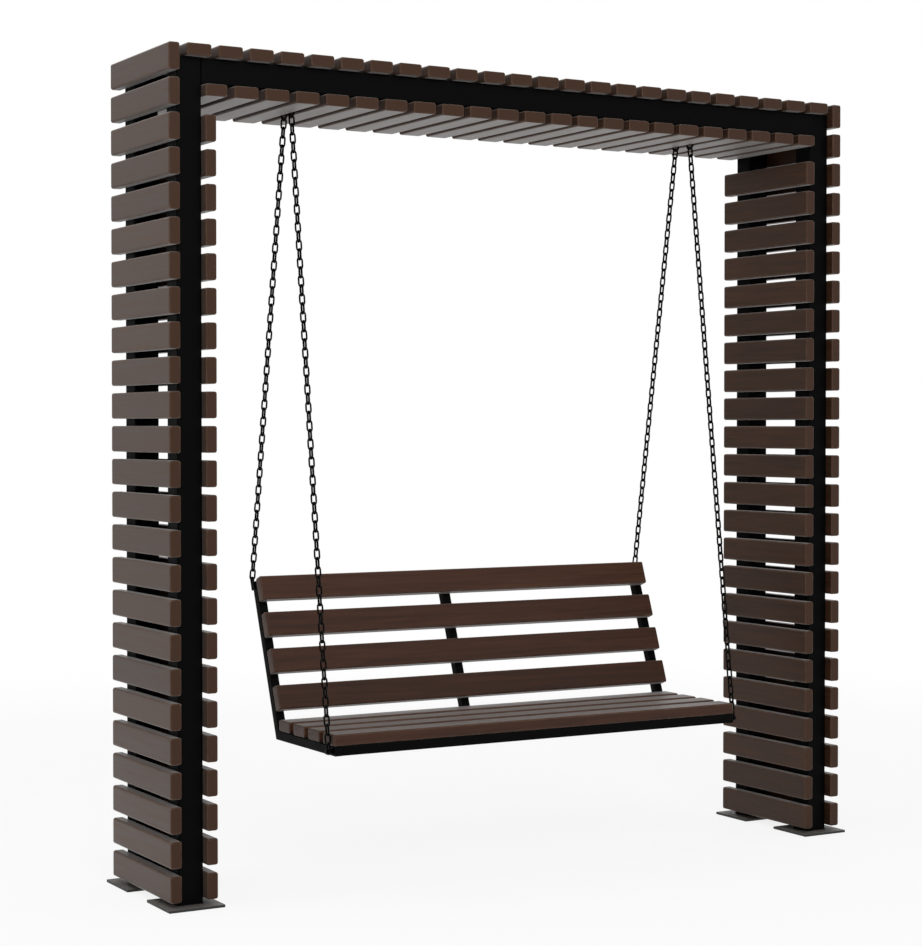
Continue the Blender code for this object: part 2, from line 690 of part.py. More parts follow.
def make_lugs(parent):
    """Plates on the uprights' outer sides. Each rises past its tube and holds the chain's bow."""
    up_the_chain = (REAR_TOP - REAR_LOW).normalized()
    hole = REAR_LOW - up_the_chain * (LUG_HOLE_RADIUS - CHAIN_WIRE / 2 - BEARING_PLAY)
    tail = (hole - UPRIGHT_FOOT).dot(UP_THE_BACK) - (UPRIGHT_END - LUG_TAIL)
    half = LUG_WIDTH / 2
    turns = [math.pi * k / LUG_ROUND_STEPS for k in range(LUG_ROUND_STEPS + 1)]
    reaches = [(half * math.sin(turn), half * math.cos(turn)) for turn in turns]
    reaches += [(-tail, -half), (-tail, half)]
    corners = [hole + UP_THE_BACK * up + BEHIND_THE_BACK * back for up, back in reaches]
    outline = [(corner.y, corner.z) for corner in corners]
    for word, side in SIDES:
        name = f"{word}_rear_lug"
        middle = side * REAR_CHAIN_X
        ends = (middle - LUG_THICKNESS / 2, middle + LUG_THICKNESS / 2)
        plate = finished_mesh(side_outline(outline, ends), name)
        lug = piece(name, plate, BLACK_PAINT, parent=parent)
        cut = (ends[0] - CUT_OVERRUN, ends[1] + CUT_OVERRUN)
        bore = rod((hole.y, hole.z), LUG_HOLE_RADIUS, cut, HOLE_SIDES)
        helper(lug, finished_mesh(bore, f"{name}_hole"), "DIFFERENCE")


def make_chain_bolts(parent):
    """Bolts through the side frames, each with a nut, collar, washer and head."""
    nut_end = FRAME_INNER_X - FIT_GAP
    collar_start = BENCH_END_X + FIT_GAP
    washer_start = FRONT_CHAIN_X + CHAIN_WIRE / 2 + FIT_GAP
    head_start = washer_start + BOLT_WASHER_HEIGHT
    steps = (
        round_step(nut_end - BOLT_NUT_HEIGHT, BOLT_DIAMETER),
        hexagon_step(nut_end, BOLT_HEAD_WIDTH),
        round_step(collar_start, BOLT_DIAMETER),
        round_step(collar_start + COLLAR_LENGTH, COLLAR_DIAMETER),
        round_step(washer_start, BOLT_DIAMETER),
        round_step(head_start, BOLT_WASHER),
        hexagon_step(head_start + BOLT_HEAD_HEIGHT, BOLT_HEAD_WIDTH),
    )
    for word, side in SIDES:
        name = f"{word}_chain_bolt"
        bm = stepped_rod(nut_end - BOLT_NUT_HEIGHT - BOLT_TAIL, steps, side)
        piece(name, finished_mesh(bm, name), BLACK_ZINC, spot=FRONT_LOW, parent=parent)


def make_bench():
    bench = pivot("bench_pivot", REAR_LOW)
    make_frames(bench)
    make_front_rail(bench)
    make_bench_slats(bench)
    make_lugs(bench)
    make_chain_bolts(bench)


clear_scene()
make_base_plates()
for leg_word, leg_side in SIDES:
    make_leg(leg_word, leg_side)
    make_hanger_bar(leg_word, leg_side)
make_beams()
make_ceiling()
make_eye_bolts()
make_chains()
make_bench()
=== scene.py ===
import math

import bpy
import numpy as np
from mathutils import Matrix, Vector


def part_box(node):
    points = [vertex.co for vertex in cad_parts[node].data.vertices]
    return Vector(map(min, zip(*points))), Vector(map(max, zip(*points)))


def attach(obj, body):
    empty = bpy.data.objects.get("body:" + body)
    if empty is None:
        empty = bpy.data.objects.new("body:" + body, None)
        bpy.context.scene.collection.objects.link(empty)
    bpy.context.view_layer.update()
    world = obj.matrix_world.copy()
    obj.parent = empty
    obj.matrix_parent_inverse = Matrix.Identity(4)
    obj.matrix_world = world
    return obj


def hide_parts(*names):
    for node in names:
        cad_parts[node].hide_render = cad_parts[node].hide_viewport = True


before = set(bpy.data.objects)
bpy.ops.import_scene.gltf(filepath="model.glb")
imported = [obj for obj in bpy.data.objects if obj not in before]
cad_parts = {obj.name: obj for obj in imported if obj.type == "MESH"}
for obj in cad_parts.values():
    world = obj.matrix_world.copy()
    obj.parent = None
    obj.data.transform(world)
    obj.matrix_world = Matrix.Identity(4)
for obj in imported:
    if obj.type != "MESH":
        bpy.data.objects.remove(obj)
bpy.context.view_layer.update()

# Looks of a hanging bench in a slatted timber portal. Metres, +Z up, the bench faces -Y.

# Sizes that the part's source has too
SLAT_WIDTH = 0.080
SLAT_THICKNESS = 0.036
SLAT_LENGTH = 0.475
ROW_PITCH = 0.1025
FIRST_ROW_HEIGHT = 0.0228
OUTER_ROWS = 25
INNER_ROWS = 23
ROOF_SLATS = 24
ROOF_PITCH = 0.1016
POST_SIDE = 0.080
POST_OUTER_X = 1.230
POST_INNER_X = 1.150
POST_Y = 0.169
PLATE_TOP = 0.008
BEAM_UNDER_Z = 2.449
ROOF_UNDER_Z = 2.529
FIT_GAP = 0.0003
BAR_SIDE = 0.040
FRAME_SIDE = 0.030
BENCH_END_X = 0.756
SEAT_FRONT_Y = -0.297
RAIL_TOP_Z = 0.4587
RAIL_UNDER_Z = 0.4287
MIDDLE_FRAME_X = -0.053
BACK_LEAN = math.radians(20.2)
BACK_REACH = 0.5085
BACK_PITCH = 0.122
UPRIGHT_END = 0.5025
UPRIGHT_FOOT_Y = 0.1009
LUG_THICKNESS = 0.005
LUG_WIDTH = 0.022
LUG_TAIL = 0.025
LUG_HOLE_RADIUS = 0.005
REAR_CHAIN_X = 0.7588
FRONT_CHAIN_X = 0.76745
REAR_TOP = np.array((0, 0.047, 2.4082))
REAR_LOW = np.array((0, 0.295465, 0.932776))
FRONT_TOP = np.array((0, -0.0246, 2.4082))
FRONT_LOW = np.array((0, -0.279, 0.4422))
CHAIN_WIRE = 0.0065
LINK_WIDTH = 0.0225
REAR_LINKS = 53
FRONT_LINKS = 70
BOLT_TO_BOW = 0.00755
BEARING_PLAY = 0.0003
EYE_RADIUS = 0.0135
EYE_WIRE = 0.007
EYE_CENTRE_Z = 2.41795
EYE_SHANK_RADIUS = 0.005
EYE_WASHER_RADIUS = 0.010
EYE_WASHER_HEIGHT = 0.002
EYE_NUT_RADIUS = 0.0085
EYE_NUT_HEIGHT = 0.008
EYE_TAIL = 0.006
BOLT_RADIUS = 0.004
BOLT_NUT_RADIUS = 0.0065
BOLT_NUT_HEIGHT = 0.0065
BOLT_TAIL = 0.002
BOLT_HEAD_HEIGHT = 0.0053
BOLT_WASHER_RADIUS = 0.009
BOLT_WASHER_HEIGHT = 0.0016
COLLAR_RADIUS = 0.008
COLLAR_LENGTH = 0.0076

# Finer forms that only this file has
PORTAL_BOARD_EDGE = 0.0068
BENCH_BOARD_EDGE = 0.0065
BOARD_END_EDGE = 0.004
POST_CORNER = 0.006
BAR_CORNER = 0.004
FRAME_CORNER = 0.0035
PLATE_CORNER = 0.003
SAWN_EDGE = 0.0008
LUG_EDGE = 0.0004
FOOT_WELD = 0.005
BEAM_WELD = 0.003
WELD_LIFT = 0.001
WELD_STEP = 0.004
WELD_SIDES = 6
THREAD_DEPTH = 0.0002
DRAWN_WIRE_SHARE = 0.99

SIDES = (("left", -1), ("right", 1))
X, Y, Z = np.eye(3)
UP_THE_BACK = np.array((0, math.sin(BACK_LEAN), math.cos(BACK_LEAN)))
BEHIND_THE_BACK = np.array((0, math.cos(BACK_LEAN), -math.sin(BACK_LEAN)))
UPRIGHT_FOOT = np.array((0, UPRIGHT_FOOT_Y, RAIL_TOP_Z))
ORIGIN = (0, 0, 0)
TONES = np.random.default_rng(7)


# --- forms ---

def rounded_square(width, height, radius, steps):
    """Outline of a rectangle with round corners, as points, their normals and how far round
    each is in its corner: a corner's point is its arc's centre plus the radius times
    (cos t, sin t), and its normal is (cos t, sin t). Edge is sin(2t), 0 where the flats start."""
    turn = np.linspace(0, math.pi / 2, steps + 1)
    quarter = np.arange(4)[:, None] * math.pi / 2
    angle = (quarter + turn).ravel()
    way = np.stack((np.cos(angle), np.sin(angle)), axis=-1)
    middle = np.repeat(np.array(((1, 1), (-1, 1), (-1, -1), (1, -1))), steps + 1, axis=0)
    centre = middle * (np.array((width, height)) / 2 - radius)
    return centre + radius * way, way, np.abs(np.sin(2 * angle))


def board(size, radius, steps, end_radius, end_steps=1):
    """A bar along its own first axis with round long edges and round end edges. The rounded
    rectangle is carried along the bar. At turn t of an end's quarter circle it lies
    r (1 - sin t) from the end face and is drawn in by r (1 - cos t) all round."""
    length, width, height = size
    turn = np.linspace(math.pi / 2, 0, end_steps + 1)
    back = end_radius * (1 - np.sin(turn))
    inset = end_radius * (1 - np.cos(turn))
    rings, ways, edges = [], [], []
    for draw, step, t in zip(inset, back, turn):
        outline, way, edge = rounded_square(width - 2 * draw, height - 2 * draw, radius - draw, steps)
        rings.append(np.column_stack((np.full(len(outline), step - length / 2), outline)))
        ways.append(np.column_stack((np.full(len(way), -math.sin(t)), math.cos(t) * way)))
        edges.append(np.maximum(edge, math.sin(2 * t) if 0 < t < math.pi / 2 else 0))
    mirror = np.array((-1, 1, 1))
    points = np.stack(rings + [ring * mirror for ring in rings[::-1]])
    normals = np.stack(ways + [way * mirror for way in ways[::-1]])
    return points, normals, np.stack(edges + edges[::-1])


def band(low, high, radius, low_ease, high_ease):
    """Profile points of a band on a turned form, with both its edges eased. An ease is how far
    the edge is cut back along the axis and how far towards it."""
    return [(low, radius - low_ease[1]), (low + low_ease[0], radius),
            (high - high_ease[0], radius), (high, radius - high_ease[1])]


def placed(form, axes, spots):
    """Copies of a form: each point p goes to spot + p times the matrix whose rows are the axes."""
    points, normals, edge = form
    axes = np.asarray(axes, float)
    spots = np.asarray(spots, float).reshape(-1, 3)
    moved = (points @ axes)[None] + spots[:, None, None, :]
    turned = np.broadcast_to((normals @ axes)[None], moved.shape)
    edges = np.broadcast_to(edge[None], moved.shape[:-1])
    return moved, turned, edges


def as_drawn(form):
    """One copy of a form that is already drawn in its place."""
    return placed(form, np.eye(3), ORIGIN)


def lathe(profile, sides, hexagon=()):
    """A turned form about its own first axis: profile point (x, r) goes round to
    (x, r cos t, r sin t). On the steps named in hexagon, r is divided by the cosine of t's
    distance from the nearest flat's middle, which makes six flats."""
    profile = np.asarray(profile, float)
    turn = np.arange(sides) * 2 * math.pi / sides
    flat = np.cos((turn + math.pi / 6) % (math.pi / 3) - math.pi / 6)
    radius = np.repeat(profile[:, 1:2], sides, axis=1)
    for k in hexagon:
        radius[k] /= flat
    points = np.stack((np.repeat(profile[:, :1], sides, axis=1),
                       radius * np.cos(turn), radius * np.sin(turn)), axis=-1)
    return points, np.zeros_like(points), np.zeros(points.shape[:2])


def torus(radius, wire, steps, sides):
    """A torus in the YZ plane: ((wire/2) sin v, (radius + wire/2 + (wire/2) cos v) (cos u, sin u))."""
    u = np.arange(steps)[:, None] * 2 * math.pi / steps
    v = np.arange(sides)[None, :] * 2 * math.pi / sides
    reach = radius + wire / 2 + wire / 2 * np.cos(v)
    points = np.stack((wire / 2 * np.sin(v) + 0 * u, reach * np.cos(u), reach * np.sin(u)), axis=-1)
    normals = np.stack((np.sin(v) + 0 * u, np.cos(v) * np.cos(u), np.cos(v) * np.sin(u)), axis=-1)
    return points, normals, np.zeros(points.shape[:2])


def link(pitch, width, wire, bow_steps, sides):
    """A chain link in its own XZ plane, middle at the origin: a circle of the wire's radius
    carried round a stadium, two half circles of radius (width - wire)/2 a straight length apart."""
    bow = (width - wire) / 2
    straight = (pitch + wire) / 2 - bow
    turn = np.linspace(0, math.pi, bow_steps + 1)
    angle = np.concatenate((turn, turn + math.pi))[:, None]
    lift = np.where(angle <= math.pi, straight, -straight)
    lift[bow_steps + 1] = -straight
    v = np.arange(sides)[None, :] * 2 * math.pi / sides
    reach = bow + wire / 2 * np.cos(v)
    points = np.stack((reach * np.cos(angle), wire / 2 * np.sin(v) + 0 * angle,
                       reach * np.sin(angle) + lift), axis=-1)
    normals = np.stack((np.cos(v) * np.cos(angle), np.sin(v) + 0 * angle,
                        np.cos(v) * np.sin(angle)), axis=-1)
    # Neighbours rub the inside of the bows
    wear = np.abs(np.sin(angle)) ** 3 * (np.cos(v) < -0.3)
    return points, normals, wear


def plate_with_hole(outline, hole, thickness, ease):
    """A flat plate in the YZ plane with a hole: at each outline point the plate's cross-section
    runs from the hole's wall to the outline and back, its corners eased, closed all round."""
    outline = np.asarray(outline, float)
    way = outline / np.linalg.norm(outline, axis=1, keepdims=True)
    half = thickness / 2
    steps = ((0, ease, -half), (0, 0, -half + ease), (0, 0, half - ease), (0, ease, half),
             (1, -ease, half), (1, 0, half - ease), (1, 0, -half + ease), (1, -ease, -half))
    faces = (-1, 0, 0, 1, 1, 0, 0, -1)
    points, normals = [], []
    for (outer, inward, x), side in zip(steps, faces):
        spot = (outline if outer else way * hole) + way * inward
        points.append(np.column_stack((np.full(len(spot), x), spot)))
        out = way if outer else -way
        normals.append(np.column_stack((np.full(len(spot), side), out * (side == 0))))
    return np.stack(points, axis=1), np.stack(normals, axis=1), np.zeros((len(outline), 8))


def bead(path, wire, sides):
    """A weld bead: a circle of the bead's radius carried round a closed path of points. Each
    circle lies in the plane of the path's outward direction and the direction across it."""
    path = np.asarray(path, float)
    ahead = np.roll(path, -1, axis=0) - np.roll(path, 1, axis=0)
    ahead /= np.linalg.norm(ahead, axis=1, keepdims=True)
    centre = path.mean(axis=0)
    normal = np.cross(ahead[0], path[0] - centre)
    normal /= np.linalg.norm(normal)
    out = np.cross(normal, ahead)
    turn = np.arange(sides)[None, :, None] * 2 * math.pi / sides
    # The bead swells and narrows by 18 % as it was laid, about once in three points
    ripple = 1 + 0.18 * np.sin(np.arange(len(path)) * 2.4)[:, None, None]
    normals = np.cos(turn) * out[:, None] + np.sin(turn) * normal
    points = path[:, None] + wire / 2 * ripple * normals
    return points, normals, np.zeros(points.shape[:2])


def grid_faces(rows, columns, closed):
    """Quads of a grid that closes on itself along its columns and, if closed, along its rows."""
    across = np.arange(columns)
    down = np.arange(rows if closed else rows - 1)
    after = (across + 1) % columns
    below = (down + 1) % rows
    a = down[:, None] * columns + across
    b = down[:, None] * columns + after
    c = below[:, None] * columns + after
    d = below[:, None] * columns + across
    return np.stack((a, b, c, d), axis=-1).reshape(-1, 4)


def signed_volume(points, faces):
    """Volume inside quads, each cut into two triangles with the origin as the fourth corner."""
    a, b, c, d = (points[faces[:, k]] for k in range(4))
    return (np.einsum("ij,ij->i", a, np.cross(b, c)) + np.einsum("ij,ij->i", a, np.cross(c, d))).sum() / 6


def solid(name, body, material, forms, replaces, smooth_normals=True):
    """One piece from placed forms. Each form is (points, normals, edge, closed): open ones are
    capped at both ends. The grid's own normals are kept, so flats stay flat next to round edges."""
    points, normals, faces, edges, tones = [], [], [], [], []
    start = 0
    for (grid, ways, edge), closed in forms:
        copies, rows, columns = grid.shape[:3]
        for copy in range(copies):
            quads = grid_faces(rows, columns, closed)
            flat = grid[copy].reshape(-1, 3)
            middle = flat.mean(axis=0)
            if signed_volume(flat - middle, quads) < 0:
                quads = quads[:, ::-1]
                caps = (np.arange(columns), np.arange(columns)[::-1] + (rows - 1) * columns)
            else:
                caps = (np.arange(columns)[::-1], np.arange(columns) + (rows - 1) * columns)
            faces += (quads + start).tolist()
            if not closed:
                faces += [(cap + start).tolist() for cap in caps]
            points.append(flat)
            normals.append(ways[copy].reshape(-1, 3))
            edges.append(edge[copy].ravel())
            tones.append(np.full(len(flat), TONES.random()))
            start += len(flat)
    mesh = bpy.data.meshes.new(name)
    mesh.from_pydata(np.concatenate(points).tolist(), [], faces)
    mesh.shade_smooth()
    for label, values in (("edge", edges), ("board", tones)):
        layer = mesh.attributes.new(label, "FLOAT", "POINT")
        layer.data.foreach_set("value", np.concatenate(values).astype(np.float32))
    mesh.update()
    if smooth_normals:
        mesh.normals_split_custom_set_from_vertices(np.concatenate(normals).tolist())
    else:
        mesh.set_sharp_from_angle(angle=math.radians(32))
    mesh.materials.append(material)
    obj = bpy.data.objects.new(name, mesh)
    bpy.context.scene.collection.objects.link(obj)
    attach(obj, body)
    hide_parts(*replaces)


# --- materials ---

def linear(colour):
    """Linear values of an sRGB hex colour, with an alpha of 1."""
    channels = np.array([int(colour[k:k + 2], 16) for k in (1, 3, 5)]) / 255
    low = channels <= 0.04045
    return (*np.where(low, channels / 12.92, ((channels + 0.055) / 1.055) ** 2.4), 1)


def add(tree, kind, links=None, **settings):
    """Adds a node with its settings. A link's value is another node's output or a plain value."""
    made = tree.nodes.new(kind)
    for name, value in settings.items():
        setattr(made, name, value)
    for socket, value in (links or {}).items():
        if isinstance(value, bpy.types.NodeSocket):
            tree.links.new(value, made.inputs[socket])
        else:
            made.inputs[socket].default_value = value
    return made


def new_material(name):
    """A new material, its node tree and its main shader."""
    material = bpy.data.materials.new(name)
    material.use_nodes = True
    tree = material.node_tree
    return material, tree, tree.nodes["Principled BSDF"]


def stained_timber(name, grain, early, late):
    """Planed softwood under a dark brown satin stain: long soft grain, fine pores that catch the
    light, end grain darker with rings, and the rounded edges painted lighter in patches, partly as
    stain worn thin and partly as a painted highlight."""
    material, tree, shader = new_material(name)
    coords = add(tree, "ShaderNodeTexCoord")
    tone = add(tree, "ShaderNodeAttribute", attribute_name="board")
    edge = add(tree, "ShaderNodeAttribute", attribute_name="edge")
    shift = add(tree, "ShaderNodeVectorMath", {0: tone.outputs["Fac"], 1: (9.1, 4.7, 6.3)},
                operation="MULTIPLY")
    place = add(tree, "ShaderNodeVectorMath", {0: coords.outputs["Object"], 1: shift.outputs[0]})
    # Grain bands are 12 mm across and 300 mm long, and pores 1.5 mm across and 60 mm long
    band_scale = [3.3 if axis == grain else 85 for axis in "XYZ"]
    pore_scale = [16 if axis == grain else 650 for axis in "XYZ"]
    bands = add(tree, "ShaderNodeTexNoise", {
        "Vector": add(tree, "ShaderNodeMapping", {0: place.outputs[0], "Scale": band_scale}).outputs[0],
        "Scale": 1.0, "Detail": 4.0, "Roughness": 0.55, "Distortion": 0.6})
    pores = add(tree, "ShaderNodeTexNoise", {
        "Vector": add(tree, "ShaderNodeMapping", {0: place.outputs[0], "Scale": pore_scale}).outputs[0],
        "Scale": 1.0, "Detail": 2.0, "Roughness": 0.5})
    band_share = add(tree, "ShaderNodeMapRange", {
        0: bands.outputs["Fac"], 1: 0.32, 2: 0.68, 3: 0.0, 4: 1.0})
    colour = add(tree, "ShaderNodeMix", {
        0: band_share.outputs[0], 6: linear(early), 7: linear(late)}, data_type="RGBA")
    # Boards differ by a tenth in how dark they took the stain
    board_share = add(tree, "ShaderNodeMapRange", {0: tone.outputs["Fac"], 3: 0.86, 4: 1.12})
    toned = add(tree, "ShaderNodeVectorMath", {
        0: colour.outputs[2], 1: board_share.outputs[0]}, operation="MULTIPLY")
    pore_share = add(tree, "ShaderNodeMapRange", {
        0: pores.outputs["Fac"], 1: 0.60, 2: 0.74, 3: 0.0, 4: 0.45})
    pored = add(tree, "ShaderNodeMix", {
        0: pore_share.outputs[0], 6: toned.outputs[0], 7: linear("#1d120b")}, data_type="RGBA")
    facing = add(tree, "ShaderNodeSeparateXYZ", {0: coords.outputs["Normal"]})
    end_face = add(tree, "ShaderNodeMath", {0: facing.outputs["XYZ".index(grain)]}, operation="ABSOLUTE")
    end_share = add(tree, "ShaderNodeMapRange", {0: end_face.outputs[0], 1: 0.7, 2: 0.9})
    # Rings 3.5 mm apart
    rings = add(tree, "ShaderNodeTexWave", {
        "Vector": place.outputs[0], "Scale": 90.0, "Distortion": 3.0, "Detail": 2.0, "Detail Scale": 0.3},
        wave_type="RINGS", rings_direction=grain)
    end_colour = add(tree, "ShaderNodeMix", {
        0: rings.outputs["Fac"], 6: linear(early), 7: linear(late)}, data_type="RGBA")
    with_ends = add(tree, "ShaderNodeMix", {
        0: end_share.outputs[0], 6: pored.outputs[2], 7: end_colour.outputs[2]}, data_type="RGBA")
    patches = add(tree, "ShaderNodeTexNoise", {
        "Vector": place.outputs[0], "Scale": 28.0, "Detail": 3.0, "Roughness": 0.6})
    # Painted highlight: along the rounded edges the colour is mixed in patches towards a pale brown, which
    # stands in for the bright reflection along them and is partly worn stain
    edge_wear_and_painted_highlight = add(tree, "ShaderNodeMath", {
        0: edge.outputs["Fac"], 1: patches.outputs["Fac"]}, operation="MULTIPLY")
    edge_wear_and_painted_highlight_share = add(tree, "ShaderNodeMapRange", {0: edge_wear_and_painted_highlight.outputs[0], 1: 0.15, 2: 0.65, 3: 0.0, 4: 0.5})
    finished = add(tree, "ShaderNodeMix", {
        0: edge_wear_and_painted_highlight_share.outputs[0], 6: with_ends.outputs[2], 7: linear("#6e5646")}, data_type="RGBA")
    rough = add(tree, "ShaderNodeMapRange", {0: bands.outputs["Fac"], 1: 0.3, 2: 0.7, 3: 0.38, 4: 0.52})
    relief = add(tree, "ShaderNodeMath", {
        0: pores.outputs["Fac"], 1: 0.7, 2: bands.outputs["Fac"]}, operation="MULTIPLY_ADD")
    bump = add(tree, "ShaderNodeBump", {
        "Strength": 0.10, "Distance": 0.0004, "Height": relief.outputs[0]})
    tree.links.new(finished.outputs[2], shader.inputs["Base Color"])
    tree.links.new(rough.outputs[0], shader.inputs["Roughness"])
    tree.links.new(bump.outputs[0], shader.inputs["Normal"])
    # The gloss and the sheen are matched to the pale look of the slats seen at a flat angle
    shader.inputs["IOR"].default_value = 1.29
    shader.inputs["Sheen Weight"].default_value = 0.90
    shader.inputs["Sheen Roughness"].default_value = 0.28
    shader.inputs["Sheen Tint"].default_value = linear("#e8e6e4")
    return material


def powder_coated_steel():
    """Mild steel tube under black polyester powder coat: satin, with the orange-peel ripple of
    baked powder about 2 mm across and a thin uneven film of dust."""
    material, tree, shader = new_material("black_powder_coated_steel")
    coords = add(tree, "ShaderNodeTexCoord")
    peel = add(tree, "ShaderNodeTexNoise", {
        "Vector": coords.outputs["Object"], "Scale": 520.0, "Detail": 2.0, "Roughness": 0.5})
    dust = add(tree, "ShaderNodeTexNoise", {
        "Vector": coords.outputs["Object"], "Scale": 9.0, "Detail": 6.0, "Roughness": 0.65})
    facing = add(tree, "ShaderNodeSeparateXYZ", {0: coords.outputs["Normal"]})
    upward = add(tree, "ShaderNodeMapRange", {0: facing.outputs[2], 1: 0.4, 2: 1.0, 3: 0.04, 4: 0.55})
    dusty = add(tree, "ShaderNodeMath", {0: dust.outputs["Fac"], 1: upward.outputs[0]}, operation="MULTIPLY")
    colour = add(tree, "ShaderNodeMix", {
        0: dusty.outputs[0], 6: linear("#030303"), 7: linear("#1e1c1a")}, data_type="RGBA")
    rough = add(tree, "ShaderNodeMapRange", {0: dust.outputs["Fac"], 1: 0.3, 2: 0.7, 3: 0.42, 4: 0.60})
    bump = add(tree, "ShaderNodeBump", {
        "Strength": 0.12, "Distance": 0.0003, "Height": peel.outputs["Fac"]})
    tree.links.new(colour.outputs[2], shader.inputs["Base Color"])
    tree.links.new(rough.outputs[0], shader.inputs["Roughness"])
    tree.links.new(bump.outputs[0], shader.inputs["Normal"])
    # Lower than a coat's real 1.5: the photo's steel is almost black and mirrors very little
    shader.inputs["IOR"].default_value = 1.12
    return material


def plate_steel_with_painted_pale_top():
    """Hot-rolled plate under dark paint, on the ground: grit, dark sides, and a top painted pale, partly as
    dust and partly as a painted reflection.
    """
    material, tree, shader = new_material("painted_plate_steel")
    coords = add(tree, "ShaderNodeTexCoord")
    grit = add(tree, "ShaderNodeTexNoise", {
        "Vector": coords.outputs["Object"], "Scale": 240.0, "Detail": 3.0, "Roughness": 0.6})
    dust = add(tree, "ShaderNodeTexNoise", {
        "Vector": coords.outputs["Object"], "Scale": 17.0, "Detail": 5.0, "Roughness": 0.6})
    facing = add(tree, "ShaderNodeSeparateXYZ", {0: coords.outputs["Normal"]})
    upward = add(tree, "ShaderNodeMapRange", {0: facing.outputs[2], 1: 0.5, 2: 1.0})
    # Painted reflection: upward faces are mixed at least half way towards a pale grey, and an uneven dust
    # film varies the mix
    dust_and_reflection_film = add(tree, "ShaderNodeMapRange", {0: dust.outputs["Fac"], 1: 0.25, 2: 0.75, 3: 0.55, 4: 1.0})
    share = add(tree, "ShaderNodeMath", {0: upward.outputs[0], 1: dust_and_reflection_film.outputs[0]}, operation="MULTIPLY")
    colour = add(tree, "ShaderNodeMix", {
        0: share.outputs[0], 6: linear("#121110"), 7: linear("#696561")}, data_type="RGBA")
    bump = add(tree, "ShaderNodeBump", {
        "Strength": 0.25, "Distance": 0.0004, "Height": grit.outputs["Fac"]})
    tree.links.new(colour.outputs[2], shader.inputs["Base Color"])
    tree.links.new(bump.outputs[0], shader.inputs["Normal"])
    shader.inputs["Roughness"].default_value = 0.55
    return material


def blackened_steel():
    """Short-link chain and bolts in black zinc: a dark metal, dull, rubbed brighter where the
    links bear on each other."""
    material, tree, shader = new_material("black_zinc_steel")
    coords = add(tree, "ShaderNodeTexCoord")
    edge = add(tree, "ShaderNodeAttribute", attribute_name="edge")
    cloud = add(tree, "ShaderNodeTexNoise", {
        "Vector": coords.outputs["Object"], "Scale": 190.0, "Detail": 3.0, "Roughness": 0.6})
    colour = add(tree, "ShaderNodeMix", {
        0: cloud.outputs["Fac"], 6: linear("#070707"), 7: linear("#171615")}, data_type="RGBA")
    rubbed = add(tree, "ShaderNodeMix", {
        0: edge.outputs["Fac"], 6: colour.outputs[2], 7: linear("#4a4744")}, data_type="RGBA")
    rough = add(tree, "ShaderNodeMapRange", {0: cloud.outputs["Fac"], 3: 0.36, 4: 0.58})
    tree.links.new(rubbed.outputs[2], shader.inputs["Base Color"])
    tree.links.new(rough.outputs[0], shader.inputs["Roughness"])
    shader.inputs["Metallic"].default_value = 1.0
    return material


TIMBER_ALONG_Y = stained_timber("stained_timber_portal", "Y", "#301c0e", "#412817")
TIMBER_ALONG_X = stained_timber("stained_timber_bench", "X", "#351c10", "#472b1c")
BLACK_STEEL = powder_coated_steel()
PLATE_STEEL = plate_steel_with_painted_pale_top()
CHAIN_STEEL = blackened_steel()


# --- portal ---

LONG_SLAT = board((SLAT_LENGTH, SLAT_WIDTH, SLAT_THICKNESS), PORTAL_BOARD_EDGE, 3, BOARD_END_EDGE, 2)


def leg_rows(side, outer):
    """Leg slats: length along Y, width up Z, one at each row."""
    rows = OUTER_ROWS if outer else INNER_ROWS
    x = POST_OUTER_X + SLAT_THICKNESS / 2 if outer else POST_INNER_X - SLAT_THICKNESS / 2
    heights = FIRST_ROW_HEIGHT + ROW_PITCH * np.arange(rows) + SLAT_WIDTH / 2
    spots = np.column_stack((np.full(rows, side * x), np.zeros(rows), heights))
    return placed(LONG_SLAT, (Y, Z, X), spots)


def tube(low, high, along, radius):
    """A square steel tube between two corners, its long edges round as rolled tube's are."""
    low, high = np.asarray(low, float), np.asarray(high, float)
    others = [k for k in range(3) if k != along]
    size = (high - low)[[along] + others]
    axes = np.eye(3)[[along] + others]
    return placed(board(size, radius, 3, SAWN_EDGE), axes, (low + high) / 2)


def square_loop(centre, side, radius, axes):
    """A closed path round a tube's foot: the rounded square's outline in the plane of two axes."""
    outline = rounded_square(side, side, radius, 4)[0]
    flats = []
    for one, other in zip(outline, np.roll(outline, -1, axis=0)):
        count = max(1, int(np.linalg.norm(other - one) / WELD_STEP))
        flats.append(one + (other - one) * (np.arange(count) / count)[:, None])
    return np.asarray(centre) + np.concatenate(flats) @ np.asarray(axes)


def make_legs():
    """Each leg's slats, and each post with the weld round its foot and its base plate."""
    half = POST_SIDE / 2
    for word, side in SIDES:
        middle_x = side * (POST_OUTER_X + POST_INNER_X) / 2
        for end, y, outer in (("front", -POST_Y, True), ("rear", POST_Y, False)):
            node = f"{word}_{end}_post_with_slats"
            solid(f"{word}_{'outer' if outer else 'inner'}_leg_slats", "portal", TIMBER_ALONG_Y,
                  [(leg_rows(side, outer), False)], [node])
            post = tube((middle_x - half, y - half, PLATE_TOP + FIT_GAP),
                        (middle_x + half, y + half, ROOF_UNDER_Z - FIT_GAP), 2, POST_CORNER)
            loop = square_loop((middle_x, y, PLATE_TOP + WELD_LIFT), POST_SIDE, POST_CORNER, (X, Y))
            foot = as_drawn(bead(loop, FOOT_WELD, WELD_SIDES))
            solid(f"{word}_{end}_post", "portal", BLACK_STEEL,
                  [(post, False), (foot, True)], [node])
            plate = f"{word}_{end}_base_plate"
            low, high = (np.array(corner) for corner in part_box(plate))
            form = board((high - low)[[2, 0, 1]], PLATE_CORNER, 2, SAWN_EDGE)
            solid(f"{word}_{end}_foot_plate", "portal", PLATE_STEEL,
                  [(placed(form, (Z, X, Y), (low + high) / 2), False)], [plate])


